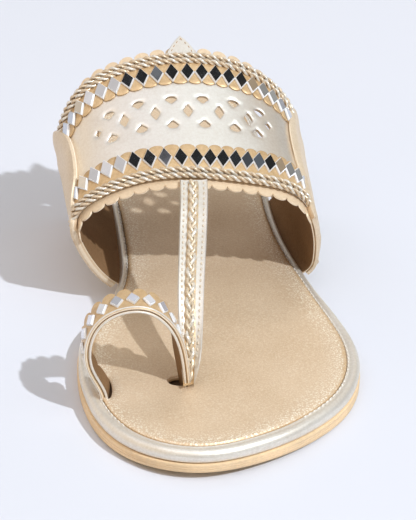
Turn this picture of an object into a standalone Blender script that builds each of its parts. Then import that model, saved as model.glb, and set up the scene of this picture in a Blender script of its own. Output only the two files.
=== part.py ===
"""Kolhapuri sandal for the left foot: a wide instep band, a toe strap and a toe ring on a flat sole.

The toe points to -Y, the heel to +Y, +Z is up, and the little toe side is +X.
Tables are in millimetres. A station is the distance back from the toe tip.
"""

import math

import bmesh
import bpy
import numpy as np
from mathutils import Vector

MM = 0.001

# Sole
SOLE_LENGTH = 246.0
OUTSOLE_THICKNESS = 4.0
TOE_SPRING = 2.0
TOE_SPRING_END = 36.0
SHANK_RISE = 1.0
SHANK_RAMPS = (98.0, 122.0, 152.0, 178.0)
HEEL_LIFT = 3.5
HEEL_RAMP = (150.0, 215.0)
RIM_WIDTH_TOE = 4.4
RIM_WIDTH_WAIST = 3.0
RIM_RAMP = (72.0, 108.0)
MIDSOLE_BOARD = 3.1
INSOLE_THICKNESS = 1.3
INSOLE_CROWN = 0.6
RUNG_STEPS = 3
RUNG_COLUMNS = 6

# Straps
BAND_WALL = 1.6
TOE_STRAP_WALL = 2.2
RING_WALL = 1.8
TAB_WALL = 1.2
STRAP_FOOT = 4.7
SLOT_DEPTH = 2.0
STRAP_STEPS = 3
BAND_COLUMNS = 6
TAB_COLUMNS = 10
FINIAL_WIDTH = 10.5
FINIAL_LENGTH = 8.0
FINIAL_OVERLAP = 3.2
FINIAL_WALL = 1.0
GAP = 0.3

# Outer edge of the sole, from the toe tip to the heel tip.
OUTLINE = (
    # station name, medial x, medial station, lateral x, lateral station
    ("toe tip", -10.7, 0.0, -10.7, 0.0),
    ("toe", -27.5, 6.8, 9.5, 5.2),
    ("toe corner", -38.4, 21.0, 29.5, 19.0),
    ("toes", -42.8, 34.5, 42.3, 35.0),
    ("ball", -44.8, 56.0, 47.8, 56.0),
    ("behind ball", -41.9, 74.5, 45.0, 77.5),
    ("joint", -34.0, 90.0, 40.5, 92.5),
    ("waist front", -28.2, 107.5, 36.3, 108.5),
    ("waist", -26.9, 131.0, 32.2, 131.0),
    ("shank", -27.6, 156.0, 30.6, 157.0),
    ("heel front", -30.4, 184.0, 31.3, 184.0),
    ("heel", -32.1, 208.0, 31.3, 208.0),
    ("heel corner", -27.0, 230.5, 26.0, 230.0),
    ("heel end", -14.5, 243.0, 13.5, 243.0),
    ("heel tip", -0.6, 246.0, -0.6, 246.0),
)

# Middle of the band's wall, up from its medial seat, over the instep and down to the lateral seat.
BAND = (
    # place, front edge x, station, z, back edge x, station, z
    ("medial seat", -20.0, 107.0, 5.7, -19.0, 153.0, 5.7),
    ("medial fold", -26.4, 106.5, 5.55, -25.4, 153.0, 5.55),
    ("medial root", -29.3, 105.5, 7.6, -28.4, 153.0, 7.8),
    ("medial flank", -38.2, 103.0, 19.5, -40.5, 152.0, 20.5),
    ("medial side", -42.3, 100.5, 33.0, -45.5, 150.5, 38.0),
    ("medial shoulder", -36.5, 99.0, 41.8, -40.2, 150.0, 58.0),
    ("medial haunch", -22.0, 98.5, 48.6, -25.0, 150.5, 69.0),
    ("crown", -3.7, 98.5, 50.2, -4.2, 151.0, 72.8),
    ("lateral haunch", 15.0, 98.5, 47.4, 15.5, 150.5, 68.6),
    ("lateral shoulder", 30.5, 99.5, 40.8, 29.8, 150.0, 56.2),
    ("lateral side", 37.8, 103.0, 27.0, 36.9, 150.5, 36.0),
    ("lateral flank", 39.0, 106.5, 15.0, 36.3, 152.0, 18.0),
    ("lateral root", 36.9, 109.5, 7.6, 31.8, 153.0, 7.8),
    ("lateral fold", 33.9, 110.0, 5.55, 28.8, 153.0, 5.55),
    ("lateral seat", 27.5, 110.5, 5.7, 22.4, 153.0, 5.7),
)

# Middle of the toe strap's wall, from the slit by the big toe up to the band.
TOE_STRAP = (
    # place, x, station, z, width
    ("slit", -9.9, 39.8, 9.0, 3.4),
    ("post", -9.9, 40.8, 14.0, 4.4),
    ("pinch", -9.6, 45.5, 21.5, 6.6),
    ("toe gap", -8.6, 56.5, 30.8, 8.2),
    ("rise", -7.0, 70.0, 38.0, 8.9),
    ("instep", -5.4, 84.0, 44.0, 9.2),
    ("band edge", -4.2, 98.5, 50.2, 9.2),
    ("under band", -4.0, 107.0, 53.9, 9.2),
)

# Middle of the toe ring's wall, from the slit over the big toe to the slot at the insole's edge.
RING = (
    # place, front edge x, station, back edge x, station, z
    ("post", -11.6, 38.3, -11.6, 45.5, 9.0),
    ("post side", -12.2, 37.9, -12.2, 48.0, 20.5),
    ("inner shoulder", -16.4, 37.6, -16.2, 49.2, 32.4),
    ("inner crown", -22.9, 37.5, -22.8, 49.6, 38.2),
    ("outer crown", -31.3, 37.2, -31.3, 49.4, 39.0),
    ("outer shoulder", -38.2, 36.8, -38.4, 49.0, 35.5),
    ("outer side", -42.3, 36.2, -42.9, 48.5, 28.0),
    ("outer flank", -41.9, 35.2, -43.0, 47.5, 18.5),
    ("slot", -37.6, 33.8, -39.2, 45.2, 9.0),
)

TABS = (
    # node, first row of BAND covered, last row, top edge z at the front, top edge z at the back
    ("side_tab_medial", "medial root", "medial haunch", 35.5, 46.5),
    ("side_tab_lateral", "lateral root", "lateral haunch", 37.5, 46.5),
)

MATERIALS = {
    # name: colour, roughness, metallic
    "tan_rubber": ((0.78, 0.56, 0.35), 0.60, 0.0),
    "champagne_leather": ((0.80, 0.76, 0.68), 0.35, 0.8),
    "gold_tan_leather": ((0.74, 0.56, 0.36), 0.45, 0.3),
    "band_leather": ((0.72, 0.64, 0.52), 0.38, 0.7),
}

for item in list(bpy.data.objects):
    bpy.data.objects.remove(item, do_unlink=True)

PARTS = bpy.data.collections.new("kolhapuri_sandal")
CUTTERS = bpy.data.collections.new("cutters")
bpy.context.scene.collection.children.link(PARTS)
bpy.context.scene.collection.children.link(CUTTERS)


def material(name):
    found = bpy.data.materials.get(name)
    if found:
        return found
    colour, roughness, metallic = MATERIALS[name]
    made = bpy.data.materials.new(name)
    made.use_nodes = True
    shader = made.node_tree.nodes["Principled BSDF"]
    shader.inputs["Base Color"].default_value = (*colour, 1.0)
    shader.inputs["Roughness"].default_value = roughness
    shader.inputs["Metallic"].default_value = metallic
    return made


def place(mesh, name, finish=None):
    """An object for the mesh: among the parts if it has a finish, or else among the cutters."""
    piece = bpy.data.objects.new(name, mesh)
    if finish:
        PARTS.objects.link(piece)
        mesh.materials.append(material(finish))
    else:
        CUTTERS.objects.link(piece)
        piece.hide_render = True
        piece.display_type = "WIRE"
    return piece


def solidify(piece, thickness):
    layer = piece.modifiers.new("wall", "SOLIDIFY")
    layer.thickness = thickness * MM
    layer.offset = 0.0
    layer.use_even_offset = True


def boolean(piece, other, operation):
    cut = piece.modifiers.new(other.name, "BOOLEAN")
    cut.operation = operation
    cut.solver = "EXACT"
    cut.object = other


# Curves


def chord_knots(rows):
    steps = np.linalg.norm(np.diff(rows, axis=0), axis=1)
    return np.concatenate([[0.0], np.cumsum(steps)])


def bends(knots, rows, closed):
    """Second slopes of the cubic spline through the rows; a closed one repeats its first row."""
    spans = np.diff(knots)[:, None]
    rises = np.diff(rows, axis=0) / spans
    system = np.eye(len(rows))
    turns = np.zeros_like(rows)
    for i in range(1, len(rows) - 1):
        before, after = spans[i - 1, 0], spans[i, 0]
        system[i, i - 1 : i + 2] = before, 2 * (before + after), after
        turns[i] = 6 * (rises[i] - rises[i - 1])
    if closed:
        first, last = spans[0, 0], spans[-1, 0]
        system[0, -1] = -1.0
        system[-1] = 0.0
        system[-1, [0, 1, -2, -1]] = 2 * first, first, last, 2 * last
        turns[-1] = 6 * (rises[0] - rises[-1])
    return np.linalg.solve(system, turns)


def spline(knots, rows, at, closed=False):
    """Points of the smooth curve that passes through each row at its knot."""
    second = bends(knots, rows, closed)
    i = np.clip(np.searchsorted(knots, at, side="right") - 1, 0, len(knots) - 2)
    span = (knots[i + 1] - knots[i])[:, None]
    left = (knots[i + 1] - at)[:, None] / span
    right = 1.0 - left
    ends = left * rows[i] + right * rows[i + 1]
    bow = (left**3 - left) * second[i] + (right**3 - right) * second[i + 1]
    return ends + bow * span**2 / 6


def between_knots(knots, steps):
    """Each knot, with evenly spaced values between it and the next."""
    parts = [np.linspace(a, b, steps, endpoint=False) for a, b in zip(knots, knots[1:])]
    return np.concatenate(parts + [knots[-1:]])


def ramp(value, start, end):
    t = np.clip((value - start) / (end - start), 0.0, 1.0)
    return t * t * (3 - 2 * t)


def unit(vectors):
    return vectors / np.linalg.norm(vectors, axis=-1, keepdims=True)


# Sole layers


def underside(station):
    """Height of the outsole's lower face: toe spring, a raised shank and two flat spots."""
    toe = TOE_SPRING * np.clip(1 - station / TOE_SPRING_END, 0.0, 1.0) ** 2
    shank = ramp(station, *SHANK_RAMPS[:2]) - ramp(station, *SHANK_RAMPS[2:])
    return toe + SHANK_RISE * shank


def seat(station):
    """Height of the outsole's upper face."""
    toe = TOE_SPRING * np.clip(1 - station / TOE_SPRING_END, 0.0, 1.0) ** 2
    return OUTSOLE_THICKNESS + toe + HEEL_LIFT * ramp(station, *HEEL_RAMP)


def rim_width(station):
    narrow = ramp(station, *RIM_RAMP)
    return RIM_WIDTH_TOE + (RIM_WIDTH_WAIST - RIM_WIDTH_TOE) * narrow


def outline():
    """The sole's edge as a closed loop, toe tip to heel tip on the lateral side and back on the medial."""
    lateral = [(row[3], row[4]) for row in OUTLINE]
    medial = [(row[1], row[2]) for row in OUTLINE]
    rows = np.array(lateral + medial[-2::-1])
    knots = chord_knots(rows)
    return spline(knots, rows, between_knots(knots, RUNG_STEPS), closed=True)[:-1]


EDGE = outline()
EDGE_ALONG = np.roll(EDGE, -1, axis=0) - np.roll(EDGE, 1, axis=0)
EDGE_INWARD = unit(np.column_stack([-EDGE_ALONG[:, 1], EDGE_ALONG[:, 0]]))


def to_world(points):
    """Table coordinates (x, station, z) in millimetres as metres in the sandal's frame."""
    return (np.asarray(points, float) - np.array([0.0, SOLE_LENGTH / 2, 0.0])) * MM


def edge_loop(inset, rise, level):
    """One loop of a sole layer: the sole's edge moved in, at a rise above a level."""
    loop = EDGE + EDGE_INWARD * np.broadcast_to(inset, len(EDGE))[:, None]
    return np.column_stack([loop, level(loop[:, 1]) + rise])


def cap(mesh, loop, rise, level, crown=0.0):
    """Faces that close a loop in rungs from the lateral to the medial side, crowned in the middle."""
    tip = len(loop) // 2
    shares = np.arange(1, RUNG_COLUMNS) / RUNG_COLUMNS
    rungs = [[loop[0]]]
    for r in range(1, tip):
        lateral, medial = loop[r], loop[-r]
        inner = []
        for share in shares:
            point = lateral.co.lerp(medial.co, share)
            height = level(point.y / MM + SOLE_LENGTH / 2) + rise + crown * (1 - (2 * share - 1) ** 2)
            point.z = height * MM
            inner.append(mesh.verts.new(point))
        rungs.append([lateral, *inner, medial])
    rungs.append([loop[tip]])
    for near, far in zip(rungs, rungs[1:]):
        for i in range(RUNG_COLUMNS):
            places = (near, i), (near, i + 1), (far, i + 1), (far, i)
            corners = [rung[min(j, len(rung) - 1)] for rung, j in places]
            mesh.faces.new(list(dict.fromkeys(corners)))


def sole_layer(name, finish, profile, crown=0.0):
    """A layer of the sole, lofted through edge loops of (inset, rise, level) from bottom to top."""
    mesh = bmesh.new()
    loops = [[mesh.verts.new(point) for point in to_world(edge_loop(*row))] for row in profile]
    for lower, upper in zip(loops, loops[1:]):
        for i in range(len(lower)):
            mesh.faces.new((lower[i - 1], lower[i], upper[i], upper[i - 1]))
    cap(mesh, loops[0], *profile[0][1:])
    cap(mesh, loops[-1], *profile[-1][1:], crown)
    bmesh.ops.recalc_face_normals(mesh, faces=mesh.faces)
    data = bpy.data.meshes.new(name)
    mesh.to_mesh(data)
    mesh.free()
    data.shade_smooth()
    data.set_sharp_from_angle(angle=math.radians(35))
    return place(data, name, finish)


def outsole():
    profile = (
        (0.7, 0.0, underside),
        (0.0, 0.8, underside),
        (0.0, -0.6, seat),
        (0.4, 0.0, seat),
    )
    return sole_layer("outsole", "tan_rubber", profile)


def midsole():
    """The wrapped board: a round rolled rim about a level floor for the insole."""
    rim = rim_width(EDGE[:, 1])
    profile = (
        (0.9, GAP, seat),
        (0.35, GAP + 0.9, seat),
        (0.25, GAP + 2.0, seat),
        (0.18 * rim + 0.2, GAP + 3.2, seat),
        (0.48 * rim, GAP + 3.9, seat),
        (0.80 * rim, GAP + 3.7, seat),
        (rim - 0.1, GAP + MIDSOLE_BOARD, seat),
    )
    return sole_layer("midsole", "champagne_leather", profile)


def insole():
    """The padded sock that lies on the board inside the rim."""
    rim = rim_width(EDGE[:, 1])
    floor = 2 * GAP + MIDSOLE_BOARD
    profile = (
        (rim + 0.4, floor, seat),
        (rim + 0.3, floor + 0.7 * INSOLE_THICKNESS, seat),
        (rim + 0.9, floor + INSOLE_THICKNESS, seat),
    )
    return sole_layer("insole", "gold_tan_leather", profile, INSOLE_CROWN)


# Straps


def grid_mesh(name, points):
    """An open sheet through a grid of points."""
    rows, columns = points.shape[:2]
    mesh = bmesh.new()
    verts = [mesh.verts.new(point) for point in to_world(points.reshape(-1, 3))]
    for r in range(rows - 1):
        for c in range(columns - 1):
            i = r * columns + c
            corners = i, i + 1, i + columns + 1, i + columns
            mesh.faces.new([verts[v] for v in corners])
    data = bpy.data.meshes.new(name)
    mesh.to_mesh(data)
    mesh.free()
    data.shade_smooth()
    return data


def band_edges(grow=0.0):
    """The band's front and back edge rows; growing it widens it and runs it further into the sole."""
    table = np.array([row[1:] for row in BAND])
    front, back = table[:, :3].copy(), table[:, 3:].copy()
    front[:, 1] -= grow
    back[:, 1] += grow
    for edge in (front, back):
        edge[0, 0] += grow
        edge[-1, 0] -= grow
    return front, back


BAND_KNOTS = chord_knots(sum(band_edges()) / 2)
BAND_PLACES = {row[0]: knot for row, knot in zip(BAND, BAND_KNOTS)}


def band_row(across, share, grow=0.0):
    """Points of the middle of the band's wall at knots across the foot, a share from front to back."""
    front, back = (spline(BAND_KNOTS, edge, across) for edge in band_edges(grow))
    return front * (1 - share) + back * share


def band_body(name, grow=0.0, finish=None):
    across = between_knots(BAND_KNOTS, STRAP_STEPS)
    grid = np.array([band_row(across, share, grow) for share in np.linspace(0.0, 1.0, BAND_COLUMNS)])
    piece = place(grid_mesh(name, grid), name, finish)
    solidify(piece, BAND_WALL + 2 * grow)
    return piece


def toe_strap_body(name, grow=0.0, foot=STRAP_FOOT):
    """The toe strap as a sheet that narrows to a post and goes straight down the slit to its foot."""
    table = np.array([row[1:] for row in TOE_STRAP])
    below = table[0].copy()
    below[2] = foot
    table = np.vstack([below, table])
    knots = chord_knots(table[:, :3])
    line = spline(knots, table, between_knots(knots, STRAP_STEPS))
    half = (line[:, 3] / 2 + grow)[:, None] * np.array([1.0, 0.0, 0.0])
    grid = np.array([line[:, :3] + side * half for side in (-1.0, 0.0, 1.0)])
    piece = place(grid_mesh(name, grid), name)
    solidify(piece, TOE_STRAP_WALL + 2 * grow)
    return piece


def ring_body(name, grow=0.0, foot=STRAP_FOOT):
    """The toe ring as a sheet over the big toe, with both feet run on down through the sole's board."""
    table = np.array([row[1:] for row in RING])
    first, last = table[0].copy(), table[-1].copy()
    slope = (table[-1] - table[-2]) / (table[-1, 4] - table[-2, 4])
    first[4] = foot
    last += slope * (foot - last[4])
    table = np.vstack([first, table, last])
    front = table[:, [0, 1, 4]] - np.array([0.0, grow, 0.0])
    back = table[:, [2, 3, 4]] + np.array([0.0, grow, 0.0])
    knots = chord_knots((front + back) / 2)
    edges = [spline(knots, edge, between_knots(knots, STRAP_STEPS)) for edge in (front, back)]
    grid = np.array([edges[0] * (1 - v) + edges[1] * v for v in np.linspace(0.0, 1.0, 4)])
    piece = place(grid_mesh(name, grid), name)
    solidify(piece, RING_WALL + 2 * grow)
    return piece


def upper():
    """Band, toe strap and toe ring joined where they cross."""
    piece = band_body("upper", finish="band_leather")
    boolean(piece, toe_strap_body("toe_strap"), "UNION")
    boolean(piece, ring_body("toe_ring"), "UNION")
    return piece


def strap_clearance(piece, through):
    """Room in a sole layer for the strap ends that go down through it."""
    for cutter in (
        toe_strap_body(piece.name + "_toe_strap_slit", GAP, through),
        ring_body(piece.name + "_ring_slot", GAP, through),
    ):
        boolean(piece, cutter, "DIFFERENCE")


def side_tab(name, root, haunch, front_top, back_top):
    """A leather tab over the band's side, from its root up to a top edge that climbs to the back."""
    climb = np.linspace(BAND_PLACES[root], BAND_PLACES[haunch], 40)
    rows = []
    for share in np.linspace(0.0, 1.0, BAND_COLUMNS):
        edge_height = front_top + (back_top - front_top) * share
        top = np.interp(edge_height, band_row(climb, share)[:, 2], climb)
        rows.append(band_row(np.linspace(climb[0], top, TAB_COLUMNS), share))
    grid = np.array(rows)
    outward = unit(np.cross(np.gradient(grid, axis=1), np.gradient(grid, axis=0)))
    outward *= np.sign(climb[-1] - climb[0])
    offset = BAND_WALL / 2 + GAP + TAB_WALL / 2
    piece = place(grid_mesh(name, grid + offset * outward), name, "gold_tan_leather")
    solidify(piece, TAB_WALL)
    return piece


def finial():
    """A small leather triangle that lies on the band's crown and points back past its edge."""
    crown = np.array([BAND_PLACES["crown"]])
    front, back = band_row(crown, 0.0)[0], band_row(crown, 1.0)[0]
    slope = unit(back - front)
    normal = np.array([0.0, -slope[2], slope[1]])
    lift = BAND_WALL / 2 + GAP + FINIAL_WALL / 2
    base = back - FINIAL_OVERLAP * slope + lift * normal
    shape = bpy.data.curves.new("finial", "CURVE")
    shape.dimensions = "2D"
    shape.fill_mode = "BOTH"
    shape.extrude = FINIAL_WALL / 2 * MM
    edge = shape.splines.new("POLY")
    edge.points.add(2)
    corners = ((-FINIAL_WIDTH / 2, 0.0), (FINIAL_WIDTH / 2, 0.0), (0.0, FINIAL_LENGTH))
    for point, corner in zip(edge.points, corners):
        point.co = (corner[0] * MM, corner[1] * MM, 0.0, 1.0)
    edge.use_cyclic_u = True
    piece = bpy.data.objects.new("finial", shape)
    PARTS.objects.link(piece)
    shape.materials.append(material("champagne_leather"))
    piece.location = Vector(to_world(base))
    piece.rotation_euler = (math.atan2(slope[2], slope[1]), 0.0, 0.0)
    return piece


outsole()
board = midsole()
sock = insole()
upper()
boolean(board, band_body("band_pocket", GAP), "DIFFERENCE")
strap_clearance(board, STRAP_FOOT - SLOT_DEPTH)
strap_clearance(sock, STRAP_FOOT)
for tab in TABS:
    side_tab(*tab)
finial()
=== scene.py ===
import math

import bmesh
import bpy
import numpy as np
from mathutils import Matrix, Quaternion, Vector
from mathutils.geometry import delaunay_2d_cdt


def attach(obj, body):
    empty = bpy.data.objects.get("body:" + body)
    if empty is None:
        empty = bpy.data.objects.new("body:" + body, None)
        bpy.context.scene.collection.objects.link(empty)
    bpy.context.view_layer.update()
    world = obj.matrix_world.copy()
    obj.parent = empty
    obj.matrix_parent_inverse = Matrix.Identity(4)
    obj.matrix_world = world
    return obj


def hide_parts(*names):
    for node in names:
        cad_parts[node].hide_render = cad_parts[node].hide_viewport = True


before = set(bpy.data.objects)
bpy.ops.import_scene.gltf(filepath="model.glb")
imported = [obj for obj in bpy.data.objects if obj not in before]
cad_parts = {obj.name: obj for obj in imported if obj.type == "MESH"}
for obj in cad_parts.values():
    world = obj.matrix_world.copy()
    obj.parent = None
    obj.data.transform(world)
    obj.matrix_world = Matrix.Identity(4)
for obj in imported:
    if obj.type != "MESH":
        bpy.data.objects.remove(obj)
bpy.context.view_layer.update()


# Studio: a pale seamless floor, one lamp high in front on the right, and a room that is bright high
# up around a dark opening overhead, with a warm wall on the left. The camera looks down on the toes.
CAMERA_PLACE = (-0.0852, -0.7554, 0.467)
CAMERA_AIM = (-0.0004, -0.0416, 0.030)
CAMERA_LENS = 176.5
CAMERA_ROLL = math.radians(2.05)
FLOOR_COLOUR = (0.685, 0.70, 0.755)
ROOM_STRENGTH = 1.6
ROOM_DARK = (0.02, 0.02, 0.02)
ROOM_FADE = 0.03
ROOM_PANELS = (5.0, 0.46, 0.54, 0.25)  # dull panels: scale, start and end of their noise, how dull
ACROSS, OVER, UP = range(3)
ROOM = (
    # colour, then each range that the direction has to lie in; over is measured from the dark strip
    ((1.02, 0.99, 1.04), (OVER, -2.0, -0.12), (UP, 0.65, 2.0), (ACROSS, -2.0, 0.0)),
    ((0.72, 0.82, 0.84), (OVER, -2.0, -0.12), (UP, 0.65, 2.0), (ACROSS, 0.0, 2.0)),
    ((0.48, 0.35, 0.16), (OVER, -2.0, -0.12), (UP, 0.40, 0.65), (ACROSS, -2.0, 0.0)),
    ((0.16, 0.08, 0.04), (OVER, -2.0, -0.12), (UP, 0.40, 0.65), (ACROSS, 0.0, 2.0)),
    ((0.95, 0.97, 1.02), (OVER, 0.12, 0.42), (UP, 0.65, 2.0), (ACROSS, -0.30, 0.40)),
    ((0.06, 0.06, 0.07), (OVER, 0.42, 2.0), (UP, 0.65, 2.0)),
    ((0.45, 0.34, 0.22), (OVER, 0.12, 2.0), (UP, 0.40, 0.65), (ACROSS, 0.0, 2.0)),
    ((0.30, 0.31, 0.36), (OVER, 0.50, 0.80), (UP, 0.50, 0.80), (ACROSS, -0.20, 0.20)),
    ((0.68, 0.63, 0.60), (OVER, -0.12, 0.40), (UP, 0.40, 2.0), (ACROSS, -2.0, -0.39)),
    ((0.10, 0.11, 0.12), (OVER, -0.12, 0.12), (UP, 0.40, 2.0), (ACROSS, 0.45, 2.0)),
    ((0.69, 0.57, 0.43), (UP, 0.0, 0.40), (ACROSS, -2.0, -0.60)),
    ((0.40, 0.39, 0.36), (UP, 0.0, 0.40), (ACROSS, -0.60, 0.75), (OVER, 0.0, 2.0)),
)
OVERHEAD = (0.0, 0.961, -0.27)
LAMP = (
    # direction, distance, size, watts, colour
    (0.62, -0.60, 1.0), 3.4, 0.085, 95.0, (0.881, 0.932, 1.0),
)
FLOOR_HALF = 12.0


class Socket:
    """An output of a node. Arithmetic on it adds Math nodes."""

    def __init__(self, nodes, plug):
        self.nodes = nodes
        self.plug = plug

    def math(self, operation, *values):
        return self.nodes.node("ShaderNodeMath", {"operation": operation}, dict(enumerate(values)))

    def __add__(self, other):
        return self.math("ADD", self, other)

    def __sub__(self, other):
        return self.math("SUBTRACT", self, other)

    def __rsub__(self, other):
        return self.math("SUBTRACT", other, self)

    def __mul__(self, other):
        return self.math("MULTIPLY", self, other)

    def __truediv__(self, other):
        return self.math("DIVIDE", self, other)

    def __rtruediv__(self, other):
        return self.math("DIVIDE", other, self)

    __radd__ = __add__
    __rmul__ = __mul__


class Nodes:
    """A node tree that node() adds to, one node at a call."""

    def __init__(self, tree):
        self.tree = tree

    def node(self, kind, settings=(), sockets=(), out=0):
        made = self.tree.nodes.new(kind)
        for key, value in dict(settings).items():
            setattr(made, key, value)
        for key, value in dict(sockets).items():
            self.feed(made.inputs[key], value)
        return Socket(self, made.outputs[out])

    def feed(self, plug, value):
        if isinstance(value, Socket):
            self.tree.links.new(value.plug, plug)
        else:
            plug.default_value = value

    def mix(self, amount, *colours):
        ends = [colour if isinstance(colour, Socket) else (*colour, 1.0) for colour in colours]
        return self.node("ShaderNodeMix", {"data_type": "RGBA"}, {0: amount, 6: ends[0], 7: ends[1]}, out=2)

    def between(self, value, low, high, new_low=0.0, new_high=1.0):
        sockets = {0: value, 1: low, 2: high, 3: new_low, 4: new_high}
        return self.node("ShaderNodeMapRange", {}, sockets)


def darker(colour, share):
    return [share * c for c in colour]


class Finish(Nodes):
    """A material. Constants go on the shader's own sockets, and set() links what varies."""

    def __init__(self, name, **constants):
        self.material = bpy.data.materials.new(name)
        self.material.use_nodes = True
        super().__init__(self.material.node_tree)
        self.shader = self.tree.nodes["Principled BSDF"]
        self.set(**constants)
        self.place = self.node("ShaderNodeTexCoord", out=3)

    def set(self, **sockets):
        for key, value in sockets.items():
            self.feed(self.shader.inputs[key.replace("_", " ")], value)

    def noise(self, scale, detail=2.0, roughness=0.5):
        sockets = {"Vector": self.place, "Scale": scale, "Detail": detail, "Roughness": roughness}
        return self.node("ShaderNodeTexNoise", {}, sockets)

    def bump(self, height, distance, strength=1.0):
        sockets = {"Strength": strength, "Distance": distance, "Height": height}
        self.set(Normal=self.node("ShaderNodeBump", {}, sockets))


def lit_room():
    world = bpy.data.worlds.new("studio")
    bpy.context.scene.world = world
    world.use_nodes = True
    room = Nodes(world.node_tree)
    towards = room.node("ShaderNodeTexCoord")
    parts = room.node("ShaderNodeSeparateXYZ", {}, {0: towards}).plug.node.outputs
    over = room.node("ShaderNodeVectorMath", {"operation": "DOT_PRODUCT"}, {0: towards, 1: OVERHEAD}, out=1)
    sides = {ACROSS: Socket(room, parts[0]), OVER: over, UP: Socket(room, parts[2])}
    shade = ROOM_DARK
    for colour, *ranges in ROOM:
        share = 1.0
        for side, low, high in ranges:
            above = room.between(sides[side], low - ROOM_FADE, low + ROOM_FADE)
            below = room.between(sides[side] * -1.0, -high - ROOM_FADE, -high + ROOM_FADE)
            share = above * below * share
        shade = room.mix(share, shade, colour)
    scale, start, end, dull = ROOM_PANELS
    panels = room.node("ShaderNodeTexNoise", {}, {"Vector": towards, "Scale": scale, "Detail": 0.0})
    shade = room.mix(room.between(panels, start, end) * dull, shade, ROOM_DARK)
    background = world.node_tree.nodes["Background"]
    room.feed(background.inputs["Color"], shade)
    background.inputs["Strength"].default_value = ROOM_STRENGTH


def lamp(direction, distance, size, watts, colour):
    light = bpy.data.lights.new("lamp", "AREA")
    light.shape = "DISK"
    light.size = size
    light.energy = watts
    light.color = colour
    holder = bpy.data.objects.new("lamp", light)
    bpy.context.scene.collection.objects.link(holder)
    towards = Vector(direction).normalized()
    holder.location = Vector(CAMERA_AIM) + distance * towards
    holder.rotation_euler = (-towards).to_track_quat("-Z", "Y").to_euler()


def floor():
    data = bpy.data.meshes.new("floor")
    corners = [(x * FLOOR_HALF, y * FLOOR_HALF, 0.0) for x, y in ((-1, -1), (1, -1), (1, 1), (-1, 1))]
    data.from_pydata(corners, [], [(0, 1, 2, 3)])
    piece = bpy.data.objects.new("floor", data)
    bpy.context.scene.collection.objects.link(piece)
    paper = Finish("floor_paper", Roughness=0.75)
    paper.set(Base_Color=paper.mix(paper.noise(9.0), FLOOR_COLOUR, darker(FLOOR_COLOUR, 0.985)))
    data.materials.append(paper.material)


def camera():
    seen = bpy.data.cameras.new("camera")
    seen.lens = CAMERA_LENS
    seen.clip_start = 0.01
    holder = bpy.data.objects.new("camera", seen)
    bpy.context.scene.collection.objects.link(holder)
    holder.location = CAMERA_PLACE
    aim = (Vector(CAMERA_AIM) - Vector(CAMERA_PLACE)).to_track_quat("-Z", "Y")
    holder.rotation_mode = "QUATERNION"
    holder.rotation_quaternion = aim @ Quaternion((0.0, 0.0, 1.0), CAMERA_ROLL)
    bpy.context.scene.camera = holder


lit_room()
lamp(*LAMP)
floor()
camera()
bpy.context.scene.view_settings.view_transform = "Standard"


# Outsole: a sheet of tan rubber about 4 mm thick, cut to the outline of the foot and cemented under
# the board. Its ground edge keeps fine lines, and the toe lifts a little off the floor.
MM = 0.001
SOLE_LENGTH = 246.0
OUTSOLE_THICKNESS = 4.0
TOE_SPRING = 2.0
TOE_THINNING = 0.8
TOE_SPRING_END = 36.0
SHANK_RISE = 1.0
SHANK_RAMPS = (98.0, 122.0, 152.0, 178.0)
HEEL_LIFT = 3.5
HEEL_RAMP = (150.0, 215.0)
RUBBER = (0.90, 0.66, 0.40)
OUTLINE = (
    # medial x, medial station, lateral x, lateral station, from the toe tip back
    (-10.7, 0.0, -10.7, 0.0),
    (-27.5, 6.8, 9.5, 5.2),
    (-38.4, 21.0, 29.5, 19.0),
    (-42.8, 34.5, 42.3, 35.0),
    (-44.8, 56.0, 47.8, 56.0),
    (-41.9, 74.5, 45.0, 77.5),
    (-34.0, 90.0, 40.5, 92.5),
    (-28.2, 107.5, 36.3, 108.5),
    (-26.9, 131.0, 32.2, 131.0),
    (-27.6, 156.0, 30.6, 157.0),
    (-30.4, 184.0, 31.3, 184.0),
    (-32.1, 208.0, 31.3, 208.0),
    (-27.0, 230.5, 26.0, 230.0),
    (-14.5, 243.0, 13.5, 243.0),
    (-0.6, 246.0, -0.6, 246.0),
)
NET_ROW = 0.87  # how far apart the filling net's rows lie, and how far off the edges, in spacings
NET_CLEAR = 0.55
OUTSOLE_EDGE = (
    # inset, share of the thickness
    (0.7, 0.0), (0.15, 0.06), (0.0, 0.18), (0.0, 0.36), (0.13, 0.40), (0.0, 0.44),
    (0.0, 0.60), (0.12, 0.64), (0.0, 0.68), (0.0, 0.86), (0.12, 0.95), (0.5, 1.0),
)


def chord_knots(rows):
    steps = np.linalg.norm(np.diff(rows, axis=0), axis=1)
    return np.concatenate([[0.0], np.cumsum(steps)])


def bends(knots, rows, closed):
    """Second slopes of the cubic spline through the rows; a closed one repeats its first row."""
    spans = np.diff(knots)[:, None]
    rises = np.diff(rows, axis=0) / spans
    system = np.eye(len(rows))
    turns = np.zeros_like(rows)
    for i in range(1, len(rows) - 1):
        before, after = spans[i - 1, 0], spans[i, 0]
        system[i, i - 1 : i + 2] = before, 2 * (before + after), after
        turns[i] = 6 * (rises[i] - rises[i - 1])
    if closed:
        first, last = spans[0, 0], spans[-1, 0]
        system[0, -1] = -1.0
        system[-1] = 0.0
        system[-1, [0, 1, -2, -1]] = 2 * first, first, last, 2 * last
        turns[-1] = 6 * (rises[0] - rises[-1])
    return np.linalg.solve(system, turns)


def spline(knots, rows, at, closed=False):
    """Points of the smooth curve that passes through each row at its knot."""
    second = bends(knots, rows, closed)
    i = np.clip(np.searchsorted(knots, at, side="right") - 1, 0, len(knots) - 2)
    span = (knots[i + 1] - knots[i])[:, None]
    left = (knots[i + 1] - at)[:, None] / span
    right = 1.0 - left
    ends = left * rows[i] + right * rows[i + 1]
    bow = (left**3 - left) * second[i] + (right**3 - right) * second[i + 1]
    return ends + bow * span**2 / 6


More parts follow.
